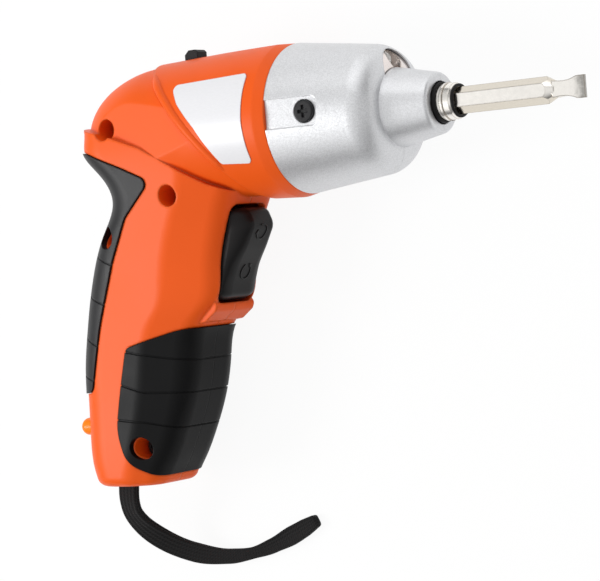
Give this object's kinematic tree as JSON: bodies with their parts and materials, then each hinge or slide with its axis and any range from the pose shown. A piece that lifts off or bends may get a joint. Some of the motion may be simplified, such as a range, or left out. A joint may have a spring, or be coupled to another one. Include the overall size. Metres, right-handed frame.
{
  "type": "cordless screwdriver",
  "caption": "Pistol-grip cordless screwdriver with a geared motor, hex socket and slotted bit, rocker trigger, nose lamp, light slider and wrist strap",
  "frame": {"origin": "Centre of the bit socket's mouth on the spindle axis", "axes": "X along the bit towards its tip, Y the tool's up with the handle towards -Y, Z the tool's right side; the tool lies on its left side"},
  "size_m": [0.1731, 0.1536, 0.0441],
  "materials": {
    "body_orange": "satin",
    "nose_silver": "satin metallic paint",
    "grip_black": "matte",
    "trigger_black": "matte",
    "black_plastic": "satin",
    "label_white": "satin",
    "screw_black": "black oxide",
    "bright_steel": "polished",
    "gear_steel": "machined",
    "motor_steel": "plated",
    "magnet_grey": "matte",
    "rotor_steel": "machined",
    "bronze": "sintered",
    "ring_plastic": "matte",
    "board_green": "satin",
    "cell_wrap": "shrink wrapped",
    "nickel": "plated",
    "reflector": "vapour plated",
    "lamp_clear": "clear",
    "indicator_amber": "gloss",
    "strap_black": "woven"
  },
  "bodies": {
    "body": {"right_housing": "body_orange", "left_housing": "body_orange", "right_nose": "nose_silver", "left_nose": "nose_silver", "rear_grip_right": "grip_black", "rear_grip_left": "grip_black", "front_grip_right": "grip_black", "front_grip_left": "grip_black", "rocker_pin": "gear_steel", "switch_body": "black_plastic", "plunger_upper": "black_plastic", "plunger_lower": "black_plastic", "light_switch": "black_plastic", "lamp": "lamp_clear", "lamp_holder": "reflector", "charge_lamp": "indicator_amber", "charge_jack": "black_plastic", "battery_cell": "cell_wrap", "cell_tab_lower": "nickel", "cell_tab_upper": "nickel", "control_board": "board_green", "motor_can": "motor_steel", "motor_magnet_upper": "magnet_grey", "motor_magnet_lower": "magnet_grey", "motor_end_cap": "black_plastic", "gearbox_plate": "gear_steel", "ring_gear": "ring_plastic", "spindle_bush": "bronze", "thrust_washer": "gear_steel", "housing_screw_1": "screw_black", "housing_screw_2": "screw_black", "housing_screw_3": "screw_black", "housing_screw_4": "screw_black", "nose_screw_right": "screw_black", "nose_screw_left": "screw_black", "label": "label_white", "strap_pin": "gear_steel", "wrist_strap": "strap_black"},
    "rotor": {"motor_rotor": "rotor_steel", "motor_pinion": "bronze"},
    "carrier": {"carrier_1": "gear_steel"},
    "planet_1a": {"planet_1a": "gear_steel"},
    "planet_1b": {"planet_1b": "gear_steel"},
    "planet_1c": {"planet_1c": "gear_steel"},
    "planet_2a": {"planet_2a": "gear_steel"},
    "planet_2b": {"planet_2b": "gear_steel"},
    "planet_2c": {"planet_2c": "gear_steel"},
    "spindle": {"spindle": "bright_steel", "spindle_clip": "gear_steel", "socket_magnet": "nickel"},
    "bit": {"slotted_bit": "bright_steel"},
    "trigger": {"trigger_rocker": "trigger_black"},
    "slider": {"light_slider": "trigger_black"}
  },
  "joints": [
    {"name": "motor_spin", "type": "hinge", "parent": "body", "child": "rotor", "pos_m": [-0.07, 0, 0], "axis": [1, 0, 0], "continuous": true},
    {"name": "carrier_spin", "type": "hinge", "parent": "body", "child": "carrier", "pos_m": [-0.041, 0, 0], "axis": [1, 0, 0], "continuous": true},
    {"name": "spindle_spin", "type": "hinge", "parent": "body", "child": "spindle", "pos_m": [-0.02, 0, 0], "axis": [1, 0, 0], "continuous": true},
    {"name": "planet_1a_spin", "type": "hinge", "parent": "carrier", "child": "planet_1a", "pos_m": [-0.0453, 0.00743, 0], "axis": [1, 0, 0], "continuous": true},
    {"name": "planet_1b_spin", "type": "hinge", "parent": "carrier", "child": "planet_1b", "pos_m": [-0.0453, -0.00371, 0.00643], "axis": [1, 0, 0], "continuous": true},
    {"name": "planet_1c_spin", "type": "hinge", "parent": "carrier", "child": "planet_1c", "pos_m": [-0.0453, -0.00371, -0.00643], "axis": [1, 0, 0], "continuous": true},
    {"name": "planet_2a_spin", "type": "hinge", "parent": "spindle", "child": "planet_2a", "pos_m": [-0.037, 0.00743, 0], "axis": [1, 0, 0], "continuous": true},
    {"name": "planet_2b_spin", "type": "hinge", "parent": "spindle", "child": "planet_2b", "pos_m": [-0.037, -0.00371, 0.00643], "axis": [1, 0, 0], "continuous": true},
    {"name": "planet_2c_spin", "type": "hinge", "parent": "spindle", "child": "planet_2c", "pos_m": [-0.037, -0.00371, -0.00643], "axis": [1, 0, 0], "continuous": true},
    {"name": "bit_pull", "type": "slide", "parent": "spindle", "child": "bit", "axis": [1, 0, 0], "range_m": [0, 0.014]},
    {"name": "trigger_rock", "type": "hinge", "parent": "body", "child": "trigger", "pos_m": [-0.08192, -0.03499, 0], "axis": [0, 0, 1], "range_deg": [-4, 4], "stiffness_Nm_per_rad": 0.4},
    {"name": "light_slide", "type": "slide", "parent": "body", "child": "slider", "axis": [1, 0, 0], "range_m": [0, 0.003]}
  ],
  "couplings": [
    {"joint": "carrier_spin", "follows": "motor_spin", "ratio": 0.16667},
    {"joint": "spindle_spin", "follows": "motor_spin", "ratio": 0.027778},
    {"joint": "planet_1a_spin", "follows": "motor_spin", "ratio": -0.41667},
    {"joint": "planet_1b_spin", "follows": "motor_spin", "ratio": -0.41667},
    {"joint": "planet_1c_spin", "follows": "motor_spin", "ratio": -0.41667},
    {"joint": "planet_2a_spin", "follows": "motor_spin", "ratio": -0.069444},
    {"joint": "planet_2b_spin", "follows": "motor_spin", "ratio": -0.069444},
    {"joint": "planet_2c_spin", "follows": "motor_spin", "ratio": -0.069444}
  ]
}
